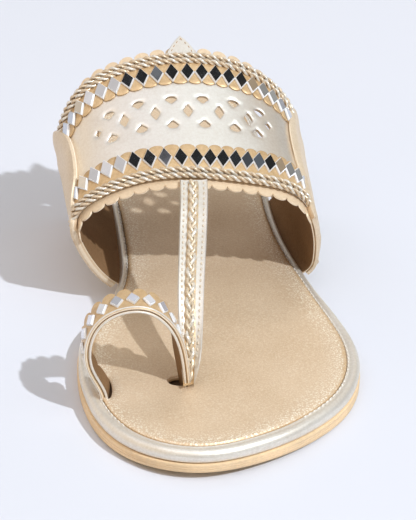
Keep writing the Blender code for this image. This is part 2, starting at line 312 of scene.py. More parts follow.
def ramp(value, start, end):
    t = np.clip((value - start) / (end - start), 0.0, 1.0)
    return t * t * (3 - 2 * t)


def unit(vectors):
    return vectors / np.linalg.norm(vectors, axis=-1, keepdims=True)


def toe_curve(station):
    return np.clip(1 - station / TOE_SPRING_END, 0.0, 1.0) ** 2


def underside(station):
    toe = (TOE_SPRING + TOE_THINNING) * toe_curve(station)
    return toe + SHANK_RISE * (ramp(station, *SHANK_RAMPS[:2]) - ramp(station, *SHANK_RAMPS[2:]))


def seat(station):
    toe = TOE_SPRING * toe_curve(station)
    return OUTSOLE_THICKNESS + toe + HEEL_LIFT * ramp(station, *HEEL_RAMP)


def even_loop(rows, step):
    """Points at even steps along the closed smooth curve through the rows, and their distances."""
    knots = chord_knots(rows)
    fine = spline(knots, rows, np.linspace(0.0, knots[-1], 4000), closed=True)
    run = chord_knots(fine)
    count = round(run[-1] / step)
    along = np.arange(count) * run[-1] / count
    return np.column_stack([np.interp(along, run, fine[:, i]) for i in range(2)]), along


def sole_edge(step):
    table = np.array(OUTLINE)
    return even_loop(np.vstack([table[:, 2:], table[-2::-1, :2]]), step)


def inset(loop, distance):
    """The closed loop moved to its left, which is inwards where it runs anticlockwise."""
    along = np.roll(loop, -1, axis=0) - np.roll(loop, 1, axis=0)
    left = unit(np.column_stack([-along[:, 1], along[:, 0]]))
    return loop + left * np.broadcast_to(distance, len(loop))[:, None]


def inside(points, loop):
    x, y = points[:, :1], points[:, 1:]
    ax, ay = loop.T
    bx, by = np.roll(loop, -1, axis=0).T
    spans = (ay > y) != (by > y)
    rise = np.where(by == ay, 1.0, by - ay)
    return ((spans & (x < ax + (y - ay) / rise * (bx - ax))).sum(axis=1) % 2).astype(bool)


def fill(loops, spacing, guides=()):
    """Triangles that fill the first loop around the other loops, over a net of points inside."""
    low, high = loops[0].min(axis=0), loops[0].max(axis=0)
    rows = np.arange(low[1] + spacing / 2, high[1], NET_ROW * spacing)
    columns = np.arange(low[0], high[0] + spacing, spacing)
    shift = 0.5 * spacing * (np.arange(len(rows)) % 2)
    net = np.stack(np.broadcast_arrays(columns[None] - shift[:, None], rows[:, None]), -1).reshape(-1, 2)
    net = net[material_at(net, loops)]
    fixed = np.concatenate([*loops, *guides])
    near = np.array([np.min(np.sum((fixed - point) ** 2, axis=1)) for point in net])
    points = np.concatenate([fixed, net[near > (NET_CLEAR * spacing) ** 2]])
    edges, start = [], 0
    for loop in (*loops, *guides):
        here = start + np.arange(len(loop))
        edges += zip(here.tolist(), np.roll(here, -1).tolist())
        start += len(loop)
    found = delaunay_2d_cdt([Vector(point) for point in points], edges, [], 0, 1e-6)
    flat = np.array([tuple(point) for point in found[0]])
    triangles = np.array(found[2])
    triangles = triangles[material_at(flat[triangles].mean(axis=1), loops)]
    new_place = {old: new for new, origins in enumerate(found[3]) for old in origins}
    rims, start = [], 0
    for loop in loops:
        rims.append(np.array([new_place[start + i] for i in range(len(loop))]))
        start += len(loop)
    return flat, triangles, rims


def material_at(points, loops):
    held = inside(points, loops[0])
    for hole in loops[1:]:
        held &= ~inside(points, hole)
    return held


def net_faces(rows, columns):
    """Four-sided faces of a net of points whose last column joins its first."""
    i, j = np.meshgrid(np.arange(rows - 1), np.arange(columns), indexing="ij")
    here, ahead = i * columns, (j + 1) % columns
    return np.stack([here + j, here + ahead, here + columns + ahead, here + columns + j], -1).reshape(-1, 4)


def to_world(points):
    """Table coordinates (x, station, z) in millimetres as metres in the sandal's frame."""
    return (np.asarray(points, float) - np.array([0.0, SOLE_LENGTH / 2, 0.0])) * MM


def build(name, patches, finishes, sharp=38.0):
    """A piece from patches of (points, faces, finish number), welded, with its faces outwards.

    A patch without points of its own uses those of the patch before it."""
    verts, faces, index, start = [], [], [], 0
    for points, corners, finish in patches:
        if points is not None:
            start = len(verts)
            verts += to_world(points).tolist()
        faces += [tuple(row) for row in (corners + start).tolist()]
        index += [finish] * len(corners)
    data = bpy.data.meshes.new(name)
    data.from_pydata(verts, [], faces)
    data.polygons.foreach_set("material_index", index)
    shell = bmesh.new()
    shell.from_mesh(data)
    bmesh.ops.remove_doubles(shell, verts=shell.verts, dist=1e-7)
    bmesh.ops.recalc_face_normals(shell, faces=shell.faces)
    shell.to_mesh(data)
    shell.free()
    data.shade_smooth()
    data.set_sharp_from_angle(angle=math.radians(sharp))
    return placed(name, data, finishes)


def placed(name, data, finishes):
    for finish in finishes:
        data.materials.append(finish.material)
    piece = bpy.data.objects.new(name, data)
    bpy.context.scene.collection.objects.link(piece)
    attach(piece, "root")
    return piece


def capped(loop, height, spacing=4.0):
    """The flat middle inside a loop, at the height that its station gives."""
    flat, triangles, _ = fill([loop[:, :2]], spacing)
    return np.column_stack([flat, height(flat[:, 1])]), triangles


def outsole():
    edge, _ = sole_edge(1.6)
    loops = []
    for step, share in OUTSOLE_EDGE:
        loop = inset(edge, step)
        low, high = underside(loop[:, 1]), seat(loop[:, 1])
        loops.append(np.column_stack([loop, low * (1 - share) + high * share]))
    walls = np.concatenate(loops)
    rubber = Finish("tan_rubber")
    mottle = rubber.noise(60.0, 3.0)
    fleck = rubber.noise(900.0)
    tone = rubber.between(mottle * 0.6 + fleck * 0.4, 0.35, 0.65)
    rubber.set(Base_Color=rubber.mix(tone, darker(RUBBER, 0.82), RUBBER))
    rubber.set(Roughness=rubber.between(fleck, 0.3, 0.7, 0.52, 0.72))
    rubber.bump(fleck + rubber.noise(2600.0) * 0.5, 0.00006, 0.6)
    patches = [
        (walls, net_faces(len(loops), len(edge)), 0),
        (*capped(loops[0], underside), 0),
        (*capped(loops[-1], seat), 0),
    ]
    piece = build("outsole_rubber", patches, [rubber])
    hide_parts("outsole")


outsole()


# Midsole: the footbed board wrapped in champagne metallic leather, rolled round at the rim, with a
# stitched bead next to the insole. The strap ends are lasted under it.
RIM_WIDTH_TOE = 4.4
RIM_WIDTH_WAIST = 3.0
RIM_RAMP = (72.0, 108.0)
BOARD = (0.12, 0.075, 0.04)
CHAMPAGNE = (0.88, 0.84, 0.765)
CHAMPAGNE_DEEP = (0.70, 0.63, 0.53)
RIM_PROFILE = (
    # inset, inset as a share of the rim's width, rise above the outsole
    (0.95, 0.0, 0.30), (0.60, 0.0, 0.42), (0.38, 0.0, 0.9), (0.27, 0.0, 1.6), (0.25, 0.0, 2.3),
    (0.26, 0.06, 3.0), (0.20, 0.16, 3.55), (0.12, 0.28, 3.95), (0.0, 0.42, 4.18), (0.0, 0.54, 4.2),
    (0.0, 0.66, 4.1), (0.0, 0.76, 3.95), (0.0, 0.81, 3.87), (0.0, 0.86, 3.95), (0.0, 0.92, 4.02),
    (0.0, 0.98, 3.98), (0.0, 1.02, 3.82), (0.05, 1.03, 3.5), (0.25, 1.03, 3.36), (1.4, 1.03, 3.34),
    (1.5, 1.03, 3.1),
)
RIM_CREASES = (
    # distance along the edge from the toe tip on the lateral side, width, depth
    (18.0, 5.0, 0.10), (33.0, 7.0, -0.09), (46.0, 4.0, 0.12), (63.0, 8.0, 0.08), (84.0, 6.0, -0.07),
    (108.0, 9.0, 0.10), (131.0, 7.0, 0.09), (455.0, 7.0, 0.10), (486.0, 6.0, -0.08), (505.0, 4.0, 0.14),
    (515.0, 5.0, -0.10), (528.0, 6.0, 0.12), (541.0, 5.0, 0.10),
)


def leather(name, colour, deep, metallic, roughness, grain, coat=0.0, relief=0.00005):
    """Finished leather: fine pebbled grain, its pits darker and duller, with a slow mottle."""
    skin = Finish(name, Metallic=metallic)
    cells = {"Vector": skin.place, "Scale": 1000.0 / grain}
    pebble = skin.node("ShaderNodeTexVoronoi", {"feature": "SMOOTH_F1"}, cells)
    fine = skin.noise(2200.0 / grain, 3.0, 0.6)
    slow = skin.noise(42.0, 3.0, 0.55)
    tone = skin.between(slow * 0.55 + fine * 0.35 + pebble * 0.25, 0.35, 0.80)
    skin.colour = skin.mix(tone, colour, deep)
    skin.set(Base_Color=skin.colour)
    skin.set(Roughness=skin.between(fine, 0.25, 0.75, roughness - 0.07, roughness + 0.09))
    if coat:
        skin.set(Coat_Weight=coat, Coat_Roughness=0.2)
    skin.bump(fine * 0.7 - pebble * 0.6, relief)
    return skin


def rim_width(station):
    return RIM_WIDTH_TOE + (RIM_WIDTH_WAIST - RIM_WIDTH_TOE) * ramp(station, *RIM_RAMP)


champagne = leather(
    "champagne_leather", CHAMPAGNE, CHAMPAGNE_DEEP,
    metallic=0.6, roughness=0.44, grain=0.9, relief=0.00003,
)


def midsole():
    edge, along = sole_edge(1.2)
    dent = sum(depth * np.exp(-(((along - place) / width) ** 2)) for place, width, depth in RIM_CREASES)
    rim = rim_width(edge[:, 1])
    loops = []
    for step, share, rise in RIM_PROFILE:
        loop = inset(edge, step + share * rim + dent * (rise > 0.5))
        loops.append(np.column_stack([loop, seat(edge[:, 1]) + rise]))
    low, high = RIM_PROFILE[0][2], RIM_PROFILE[-1][2]
    patches = [
        (np.concatenate(loops), net_faces(len(loops), len(edge)), 0),
        (*capped(loops[0], lambda station: seat(station) + low), 0),
        (*capped(loops[-1], lambda station: seat(station) + high), 1),
    ]
    board = leather("footbed_board", BOARD, darker(BOARD, 0.6), metallic=0.0, roughness=0.9, grain=0.7)
    piece = build("midsole_wrap", patches, [champagne, board], sharp=60.0)
    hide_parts("midsole")


midsole()


# Rim stitching: a row of pale thread stitches through the bead, made as one short rounded stitch
# repeated along the bead's path. Round the toe they sink into the leather and don't show.
RIM_STITCH = (2.3, 1.8, 0.30)  # pitch, length, radius
STITCH_LINE = 0.93
STITCH_HEIGHT = 4.06
STITCH_FROM = 17.0
THREAD = (0.88, 0.83, 0.74)


class Recipe(Nodes):
    """A Geometry Nodes tree with named inputs, which make() runs on a path to give a plain mesh."""

    def __init__(self, name, **inputs):
        super().__init__(bpy.data.node_groups.new(name, "GeometryNodeTree"))
        self.tree.interface.new_socket("Geometry", in_out="INPUT", socket_type="NodeSocketGeometry")
        self.tree.interface.new_socket("Geometry", in_out="OUTPUT", socket_type="NodeSocketGeometry")
        self.keys = {}
        for key, kind in inputs.items():
            made = self.tree.interface.new_socket(key, in_out="INPUT", socket_type="NodeSocket" + kind)
            self.keys[key] = made.identifier
        self.given = self.tree.nodes.new("NodeGroupInput")
        self.path = Socket(self, self.given.outputs[0])

    def value(self, key):
        return Socket(self, self.given.outputs[key])

    def sine(self, angle):
        return self.node("ShaderNodeMath", {"operation": "SINE"}, {0: angle})

    def vector(self, operation, first, second):
        sockets = {0: first, 3 if operation == "SCALE" else 1: second}
        return self.node("ShaderNodeVectorMath", {"operation": operation}, sockets)

    def attribute(self, key, kind="FLOAT_VECTOR"):
        return self.node("GeometryNodeInputNamedAttribute", {"data_type": kind}, {"Name": key})

    def line(self, spacing):
        """The path as a curve, with a point at each spacing."""
        line = self.node("GeometryNodeMeshToCurve", {}, {0: self.path})
        return self.node("GeometryNodeResampleCurve", {"mode": "LENGTH"}, {0: line, "Length": spacing})

    def row(self, points, shape, along, turned=None, size=(1.0, 1.0, 1.0)):
        """The shape at each point, standing on the leather and laid along the row."""
        axes = {"primary_axis": "Z", "secondary_axis": "X"}
        turn = self.node("FunctionNodeAxesToRotation", axes, {0: self.attribute("up"), 1: along})
        if turned:
            local = {"rotation_space": "LOCAL"}
            turn = self.node("FunctionNodeRotateRotation", local, {0: turn, 1: turned})
        sockets = {"Points": points, "Instance": shape, "Rotation": turn, "Scale": size}
        return self.node("GeometryNodeInstanceOnPoints", {}, sockets)

    def finish(self, geometry, smooth=True, **parts):
        """Ends the tree: instances made real, then each material put on its part of the faces."""
        whole = self.node("GeometryNodeRealizeInstances", {}, {0: geometry})
        if smooth:
            whole = self.node("GeometryNodeSetShadeSmooth", {}, {0: whole})
        for key, part in parts.items():
            whole = self.node("GeometryNodeSetMaterial", {}, {0: whole, 1: part, 2: self.value(key)})
        self.feed(self.tree.nodes.new("NodeGroupOutput").inputs[0], whole)

    def make(self, path, **values):
        """The mesh that the tree makes of a path mesh; the path and its modifier are removed."""
        holder = bpy.data.objects.new("path", path)
        bpy.context.scene.collection.objects.link(holder)
        modifier = holder.modifiers.new("recipe", "NODES")
        modifier.node_group = self.tree
        for key, value in values.items():
            modifier[self.keys[key]] = value
        graph = bpy.context.evaluated_depsgraph_get()
        made = bpy.data.meshes.new_from_object(holder.evaluated_get(graph), depsgraph=graph)
        holder.modifiers.remove(modifier)
        bpy.data.objects.remove(holder)
        return made


def path_mesh(lines, ups):
    """A mesh of lines of points, in table coordinates, that keeps at each point which way is up."""
    verts, edges, normals = [], [], []
    for line, up in zip(lines, ups):
        here = len(verts) + np.arange(len(line))
        edges += zip(here[:-1].tolist(), here[1:].tolist())
        verts += to_world(line).tolist()
        normals += np.asarray(up, float).tolist()
    data = bpy.data.meshes.new("path")
    data.from_pydata(verts, edges, [])
    up_layer = data.attributes.new("up", "FLOAT_VECTOR", "POINT")
    up_layer.data.foreach_set("vector", np.array(normals, np.float32).ravel())
    return data


def stitch_recipe():
    recipe = Recipe("stitch_row", Pitch="Float", Length="Float", Thickness="Float", Finish="Material")
    stitch = recipe.node("GeometryNodeMeshUVSphere", {}, {"Segments": 8, "Rings": 6, "Radius": 1.0})
    thick = recipe.value("Thickness")
    size = recipe.node("ShaderNodeCombineXYZ", {}, {0: recipe.value("Length") * 0.5, 1: thick, 2: thick})
    tangent = recipe.node("GeometryNodeInputTangent")
    recipe.finish(recipe.row(recipe.line(recipe.value("Pitch")), stitch, tangent, size=size), Finish=True)
    return recipe


def flecked(name, colour, deep, scale, tones=(0.3, 0.7), gloss=None, relief=0.0, **constants):
    """Thread, metal or glass with one fine fleck, which darkens it and can dull or raise it."""
    finish = Finish(name, **constants)
    fleck = finish.noise(scale)
    finish.set(Base_Color=finish.mix(finish.between(fleck, *tones), colour, darker(colour, deep)))
    if gloss:
        finish.set(Roughness=finish.between(fleck, 0.3, 0.7, *gloss))
    if relief:
        finish.bump(fleck, relief)
    return finish


def thread_finish(name, colour):
    return flecked(name, colour, deep=0.72, scale=2600.0, relief=0.00004, Roughness=0.55)


def stitch_row(name, lines, ups, thread, pitch, length, thickness):
    sizes = {"Pitch": pitch * MM, "Length": length * MM, "Thickness": thickness * MM}
    row = placed(name, stitches.make(path_mesh(lines, ups), Finish=thread.material, **sizes), [])
    return row


stitches = stitch_recipe()
pale_thread = thread_finish("pale_thread", THREAD)


def rim_stitches():
    edge, _ = sole_edge(1.0)
    line = inset(edge, STITCH_LINE * rim_width(edge[:, 1]))
    line = np.column_stack([line, seat(edge[:, 1]) + STITCH_HEIGHT])
    sewn = np.flatnonzero(edge[:, 1] > STITCH_FROM)
    line = line[np.roll(sewn, -1 - np.argmax(np.diff(sewn, append=sewn[0] + len(edge))))]
    stitch_row("rim_stitches", [line], [np.tile((0.0, 0.0, 1.0), (len(line), 1))], pale_thread, *RIM_STITCH)


rim_stitches()


# Insole: a thin padded sock of grained gold-tan leather with a pinked edge. It has an opening for
# the toe post and a slot for the inner end of the toe ring.
INSOLE_COLOUR = (0.80, 0.625, 0.435)
INSOLE_DEEP = (0.64, 0.46, 0.285)
INSOLE_EDGE_COLOUR = (0.66, 0.46, 0.26)
INSOLE_FACES = (3.42, 5.0)
INSOLE_CROWN = 0.6
EDGE_DROP = 0.3
PINK_PITCH = 1.8
PINK_DEPTH = 0.6
PINK_RAMP = (22.0, 58.0)
# Pale flecks painted into the insole's colour as glints, more of them towards the border.
INSOLE_GLINT_COLOUR = (1.0, 0.93, 0.78)
INSOLE_BORDER = 8.0
INSOLE_GAP = 0.08
CROWN_RAMP = (0.0, 20.0)
DENT_RAMP = (0.0, 6.0)
TOE_OPENING = (-12.4, 41.6, 4.1, 2.5)
RING_SLOT = (-36.3, 40.0, 1.6, 6.3)
OPENING_POINTS = 36
INSOLE_DENTS = (
    # x, station, width, length, depth: soft hollows and rolls left by wrapping and pressing
    (-10.0, 46.0, 12.0, 9.0, 0.35), (26.0, 52.0, 20.0, 16.0, 0.25), (-24.0, 30.0, 14.0, 9.0, 0.22),
    (4.0, 78.0, 30.0, 10.0, -0.15), (8.0, 100.0, 26.0, 8.0, 0.15), (-2.0, 205.0, 20.0, 22.0, 0.35),
)


def ellipse(middle_x, middle_y, half_x, half_y):
    """A closed loop that runs clockwise, as the edge of a hole does."""
    angle = -2 * math.pi * np.arange(OPENING_POINTS) / OPENING_POINTS
    return np.column_stack([middle_x + half_x * np.cos(angle), middle_y + half_y * np.sin(angle)])


def cut_leather(name, loops, wrap, faces, finishes, rounding, spacing, sharp=42.0):
    """Leather cut to flat loops (its outline, then its holes), laid between two heights of a form.

    Its cut edges are rounded, and take the second finish; its flesh side takes the third, if any."""
    low, high = faces
    flat, triangles, rims = fill(loops, spacing, [inset(loop, rounding) for loop in loops])
    drop = np.zeros(len(flat))
    for rim in rims:
        drop[rim] = EDGE_DROP * (high - low)
    count = len(flat)
    points = np.concatenate([wrap(flat, high - drop), wrap(flat, low + drop)])
    patches = [(points, triangles, 0), (None, triangles[:, ::-1] + count, 2 if len(finishes) > 2 else 0)]
    for rim in rims:
        ahead = np.roll(rim, -1)
        patches.append((None, np.column_stack([rim, ahead, ahead + count, rim + count]), 1))
    return build(name, patches, finishes, sharp)


def insole_finish():
    """Grain with painted glints, pale flecks that grow denser towards the border, with the tan base showing
    at the very edge.
    """
    sock = leather(
        "insole_leather", INSOLE_COLOUR, INSOLE_DEEP,
        metallic=0.32, roughness=0.46, grain=0.8, relief=0.00007,
    )
    border = sock.node("ShaderNodeAttribute", {"attribute_name": "border"}, out=2)
    # Painted glints: pale flecks mixed into the base colour, denser towards the border.
    painted_glint = sock.between(sock.noise(1900.0, 1.0), 0.49, 0.70)
    lit = sock.mix(painted_glint * (1.35 - border * 1.05), sock.colour, INSOLE_GLINT_COLOUR)
    worn = sock.between(border + sock.noise(700.0, 1.0) * 0.25, 0.17, 0.30, 0.9, 0.0)
    sock.set(Base_Color=sock.mix(worn, lit, INSOLE_EDGE_COLOUR))
    return sock


def insole():
    edge, along = sole_edge(0.45)
    pinks = round(along[-1] / PINK_PITCH)
    wave = np.abs((along / along[-1] * pinks) % 1.0 * 2 - 1)
    pink = PINK_DEPTH * (0.3 + 0.7 * ramp(edge[:, 1], *PINK_RAMP))
    outline = inset(edge, rim_width(edge[:, 1]) + INSOLE_GAP + pink * wave)
    loops = [outline, ellipse(*TOE_OPENING), ellipse(*RING_SLOT)]

    def from_edge(flat):
        return np.array([np.min(np.sum((outline - point) ** 2, axis=1)) for point in flat]) ** 0.5

    def wrap(flat, height):
        away = from_edge(flat)
        crown = INSOLE_CROWN * ramp(away, *CROWN_RAMP)
        for x, station, width, length, depth in INSOLE_DENTS:
            near = ((flat[:, 0] - x) / width) ** 2 + ((flat[:, 1] - station) / length) ** 2
            crown = crown - depth * np.exp(-near) * ramp(away, *DENT_RAMP)
        rise = (height - INSOLE_FACES[0]) / (INSOLE_FACES[1] - INSOLE_FACES[0])
        return np.column_stack([flat, seat(flat[:, 1]) + height + crown * rise])

    cut = leather("insole_edge", INSOLE_EDGE_COLOUR, INSOLE_DEEP, metallic=0.0, roughness=0.8, grain=0.5)
    finishes = [insole_finish(), cut]
    piece = cut_leather("insole_sock", loops, wrap, INSOLE_FACES, finishes, rounding=0.55, spacing=2.2)
    verts = np.array([tuple(vert.co) for vert in piece.data.vertices])
    flat = verts[:, :2] / MM + np.array([0.0, SOLE_LENGTH / 2])
    border = from_edge(flat) / INSOLE_BORDER + 0.12 * (1 - ramp(flat[:, 1], *PINK_RAMP))
    layer = piece.data.attributes.new("border", "FLOAT", "POINT")
    layer.data.foreach_set("value", np.clip(border, 0.0, 1.0).astype(np.float32))
    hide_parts("insole")


insole()


# Band lining: gold-tan leather on the inside of the instep band, cut wider than the outer panel so
# that its scalloped edges show past the cords. The cut-outs of the panel go through it as well.
# Its flesh side, towards the foot, is dark brown: partly the leather's own colour and partly painted shade
# for the inside of the band.
BAND = (
    # front edge x, station, z, back edge x, station, z, from the medial seat to the lateral seat
    (-20.0, 107.0, 5.7, -18.2, 160.0, 5.7),
    (-26.4, 106.5, 5.55, -24.6, 160.0, 5.55),
    (-29.3, 105.5, 7.6, -27.6, 160.0, 7.8),
    (-38.2, 103.0, 19.5, -39.2, 157.5, 20.5),
    (-42.3, 100.5, 33.0, -45.5, 150.5, 38.0),
    (-36.5, 99.0, 41.8, -40.2, 150.0, 58.0),
    (-22.0, 98.5, 48.6, -25.0, 150.5, 69.0),
    (-3.7, 98.5, 50.2, -4.2, 151.0, 72.8),
    (15.0, 98.5, 47.6, 15.5, 150.5, 68.8),
    (30.5, 99.7, 41.8, 29.8, 150.3, 57.0),
    (37.8, 103.2, 28.0, 36.9, 150.8, 36.8),
    (39.0, 106.5, 15.0, 35.0, 158.0, 18.0),
    (36.9, 109.5, 7.6, 31.2, 160.0, 7.8),
    (33.9, 110.0, 5.55, 28.2, 160.0, 5.55),
    (27.5, 110.5, 5.7, 21.8, 160.0, 5.7),
)
BAND_CROWN_ROW = 7
BAND_ENDS = (-90.5, 88.0)
LINING_FACES = (-0.8, 0.0)
SCALLOP_PITCH = 5.4
SCALLOP_POINTS = 14
SCALLOP_REACH = (-61.0, 50.5)
SCALLOPS = (
    # measured from the front, how far the tips stand past the edge, depth of the notches
    (True, 2.8, 1.7),
    (False, 0.9, 2.6),
)
SCALLOP_COLOUR = (0.86, 0.69, 0.49)
SCALLOP_DEEP = (0.67, 0.50, 0.32)
# Flesh side of the linings, dark brown: partly its own colour, partly painted shade where little light
# reaches inside the band and the toe ring.
LINING_SHADED_COLOUR = (0.30, 0.175, 0.085)
LINING_SHADED_DEEP = (0.18, 0.10, 0.047)
CUT_COLOUR = (0.90, 0.80, 0.65)
CUT_DEEP = (0.76, 0.62, 0.45)
CUT_OUTS = (
    # places of the middles, then the corners round a middle and how round each one is
    (
        ((-21.4, 1.0), (-10.8, 0.8), (0.2, 1.0), (10.9, 1.4), (21.0, 1.2)),
        ((0, 2.9, 0.35), (1.75, 0, 0.5), (0, -2.9, 0.35), (-1.75, 0, 0.5)),
    ),
    (
        ((-26.2, 5.6), (-16.2, 6.0), (-5.1, 5.9), (5.5, 6.0), (16.1, 6.3), (25.4, 5.8)),
        ((-1.1, 1.5, 0.9), (1.1, 1.5, 0.9), (2.1, 0.2, 0.7), (0, -1.7, 0.3), (-2.1, 0.2, 0.7)),
    ),
    (
        ((-26.2, -4.5), (-16.0, -4.6), (-5.4, -4.8), (5.5, -4.5), (16.0, -4.2), (23.9, -4.0)),
        ((0, 1.9, 0.3), (2.1, -0.2, 0.7), (1.1, -1.5, 0.9), (-1.1, -1.5, 0.9), (-2.1, -0.2, 0.7)),
    ),
    (
        ((-31.0, 0.4), (28.4, 1.4)),
        ((0, 1.5, 0.5), (1.3, 0, 0.6), (0, -1.5, 0.5), (-1.3, 0, 0.6)),
    ),
)
CORNER_POINTS = 6
LINING_LIP = 0.3


class Form:
    """The middle surface of a strap, ruled between the smooth curves of its front and back edges.

    Its flat coordinates are the run across the foot from a middle row and the distance back from
    its middle line; a height stands out from it, to the side that turn chooses."""

    def __init__(self, front, back, middle_row, turn):
        self.front = np.array(front, float)
        self.back = np.array(back, float)
        self.knots = chord_knots((self.front + self.back) / 2)
        self.middle = self.knots[middle_row]
        self.turn = turn

    def edges(self, run):
        knots = np.asarray(run, float) + self.middle
        return spline(self.knots, self.front, knots), spline(self.knots, self.back, knots)

    def width(self, run):
        front, back = self.edges(run)
        return np.linalg.norm(back - front, axis=1)

    def at(self, run, distance, front=True):
        """Flat points at a distance in from the front edge, or in from the back edge."""
        half = self.width(run) / 2
        return np.column_stack([run, distance - half if front else half - distance])

    def surface(self, flat):
        front, back = self.edges(flat[:, 0])
        share = 0.5 + flat[:, 1] / np.linalg.norm(back - front, axis=1)
        return front + (back - front) * share[:, None]

    def normal(self, flat):
        step = np.array([0.15, 0.0])
        along = self.surface(flat + step) - self.surface(flat - step)
        front, back = self.edges(flat[:, 0])
        return self.turn * unit(np.cross(along, back - front))

    def wrap(self, flat, height):
        return self.surface(flat) + self.normal(flat) * np.broadcast_to(height, len(flat))[:, None]

    def row(self, start, end, distance, front=True, step=0.25):
        """Flat points of a line that keeps its distance from one edge, and how far along it they are."""
        flat = self.at(np.arange(start, end, step), distance, front)
        return flat, chord_knots(self.surface(flat))


def scalloped_edge(front, tips, depth):
    """An edge of the lining, from one end to the other, with scallops that reach past the band."""
    flat, along = band.row(*SCALLOP_REACH, 0.0, front, SCALLOP_PITCH / SCALLOP_POINTS / 2)
    lobes = round(along[-1] / SCALLOP_PITCH)
    even = np.linspace(0.0, along[-1], lobes * SCALLOP_POINTS + 1)
    part = (even / (along[-1] / lobes)) % 1.0 * 2 - 1
    out = depth * np.sqrt(np.maximum(0.0, 1 - part**2)) - depth + tips
    return band.at(np.interp(even, along, flat[:, 0]), -out, front)


def straight_edge(form, start, end, distance, front, step=1.4):
    return form.at(np.linspace(start, end, round(abs(end - start) / step) + 1), distance, front)


def side_line(near, far, step):
    """Points between two corners, without the corners."""
    count = max(2, round(float(np.linalg.norm(far - near)) / step))
    return near + (far - near) * (np.arange(1, count) / count)[:, None]


def round_trip(front, back, step=1.4):
    """A closed loop, anticlockwise, along the front edge and home along the back edge."""
    out, home = side_line(front[-1], back[-1], step), side_line(back[0], front[0], step)
    return np.vstack([front, out, back[::-1], home])


def smooth_hole(corners):
    """A clockwise hole through corner points; a corner's last number says how round it is."""
    loop = []
    for i, (x, y, soft) in enumerate(corners):
        here = np.array([x, y])
        before, after = (np.array(corners[j % len(corners)][:2]) for j in (i - 1, i + 1))
        first, last = (here + (other - here) * 0.5 * soft for other in (before, after))
        for t in np.linspace(0.0, 1.0, CORNER_POINTS):
            loop.append((1 - t) ** 2 * first + 2 * t * (1 - t) * here + t**2 * last)
    return np.array(loop)


def cut_outs(grow):
    """The panel's pattern: a row of diamonds, with domed and drop-shaped cut-outs between them."""
    holes = []
    for places, corners in CUT_OUTS:
        for x, y in places:
            loop = smooth_hole([(x + cx, y + cy, soft) for cx, cy, soft in corners])
            holes.append(inset(loop, -grow))
    return holes


band = Form([row[:3] for row in BAND], [row[3:] for row in BAND], BAND_CROWN_ROW, 1)
scallop_leather = leather(
    "scallop_leather", SCALLOP_COLOUR, SCALLOP_DEEP,
    metallic=0.25, roughness=0.45, grain=0.8,
)
# The linings' flesh side; its dark brown is partly painted shade.
lining_leather = leather(
    "lining_leather", LINING_SHADED_COLOUR, LINING_SHADED_DEEP,
    metallic=0.1, roughness=0.75, grain=0.8,
)
lining_leather.set(Specular_IOR_Level=0.15)
cut_edge = leather("cut_edge", CUT_COLOUR, CUT_DEEP, metallic=0.0, roughness=0.7, grain=0.5)


def band_lining():
    edges = []
    for front, tips, depth in SCALLOPS:
        lobes = scalloped_edge(front, tips, depth)
        before = straight_edge(band, BAND_ENDS[0], lobes[0, 0], depth - tips, front)[:-1]
        after = straight_edge(band, lobes[-1, 0], BAND_ENDS[1], depth - tips, front)[1:]
        edges.append(np.vstack([before, lobes, after]))
    loops = [round_trip(*edges), *cut_outs(-LINING_LIP)]
    finishes = [scallop_leather, cut_edge, lining_leather]
    piece = cut_leather("band_lining", loops, band.wrap, LINING_FACES, finishes, rounding=0.22, spacing=1.5)
    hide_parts("upper")


band_lining()


# Band panel: champagne metallic leather over the lining, die-cut with diamonds and drops. The edge
# of each cut-out is pressed down, so that it catches the light.
PANEL_FACES = (0.02, 0.8)
PANEL_FROM_FRONT = 1.6
PANEL_FROM_BACK = 4.6
PANEL_COLOUR = (0.955, 0.915, 0.845)
PANEL_DEEP = (0.81, 0.74, 0.65)

panel_leather = leather(
    "panel_leather", PANEL_COLOUR, PANEL_DEEP,
    metallic=0.9, roughness=0.46, grain=0.9, relief=0.00003,
)


def band_panel():
    front = straight_edge(band, *BAND_ENDS, PANEL_FROM_FRONT, True)
    back = straight_edge(band, *BAND_ENDS, PANEL_FROM_BACK, False)
    loops = [round_trip(front, back), *cut_outs(0.0)]
    cutting = {"rounding": 0.38, "spacing": 1.3, "sharp": 75.0}
    finishes = [panel_leather, panel_leather]
    piece = cut_leather("band_panel", loops, band.wrap, PANEL_FACES, finishes, **cutting)
    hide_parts("upper")


band_panel()


# Mirror tapes: two narrow gold strips sewn across the band beside the cords, scalloped towards the
# panel. Each carries a row of diamond mirrors in raised silver settings.
TAPE_FACES = (0.82, 1.35)
MIRROR_CLOSING = 0.05
MIRROR_SIZE = (4.9, 8.4, 0.85)
MIRROR_FACE = 0.85
MIRROR_WALL = 0.45
MIRROR_COLOUR = (0.70, 0.72, 0.76)
MIRROR_TILT = math.radians(1.5)
MIRROR_TURN = 0.6  # turn on the leather as a share of the tilt
MIRROR_SINK = 0.05
TAPES = (
    # name, measured from the front, outer edge, mirror line and how far it moves in to the sides,
    # notches and how far they move in to the right, middle mirror's place, number and pitch to the
    # left, number and pitch to the right, lean, seed
    ("front", True, 4.4, (8.7, 2.0), (13.2, 1.3), 1.2, (9, 5.25), (10, 4.45), 0.03, 7),
    ("back", False, 6.9, (11.6, -0.7), (14.6, -0.5), 1.2, (10, 5.25), (9, 4.8), -0.015, 4),
)
TAPE_REACH = (-60.0, 56.0)
TAPE_LOBE = 1.6
TAPE_MARGIN = 2.6
TAPE_BEND = 34.0
LOBE_POINTS = 12
GOLD = (0.75, 0.54, 0.31)
GOLD_DEEP = (0.50, 0.32, 0.15)
SILVER = (0.90, 0.90, 0.90)


def mirror_runs(along, flat, phase, left, right):
    """Places across the foot of the mirrors, a little closer together towards the sides."""
    steps = np.arange(-left[0], right[0] + 1)
    wanted = phase + np.where(steps < 0, left[1], right[1]) * steps - MIRROR_CLOSING * steps * np.abs(steps)
    centre = np.interp(0.0, flat[:, 0], along)
    return np.interp(centre + wanted, along, flat[:, 0])


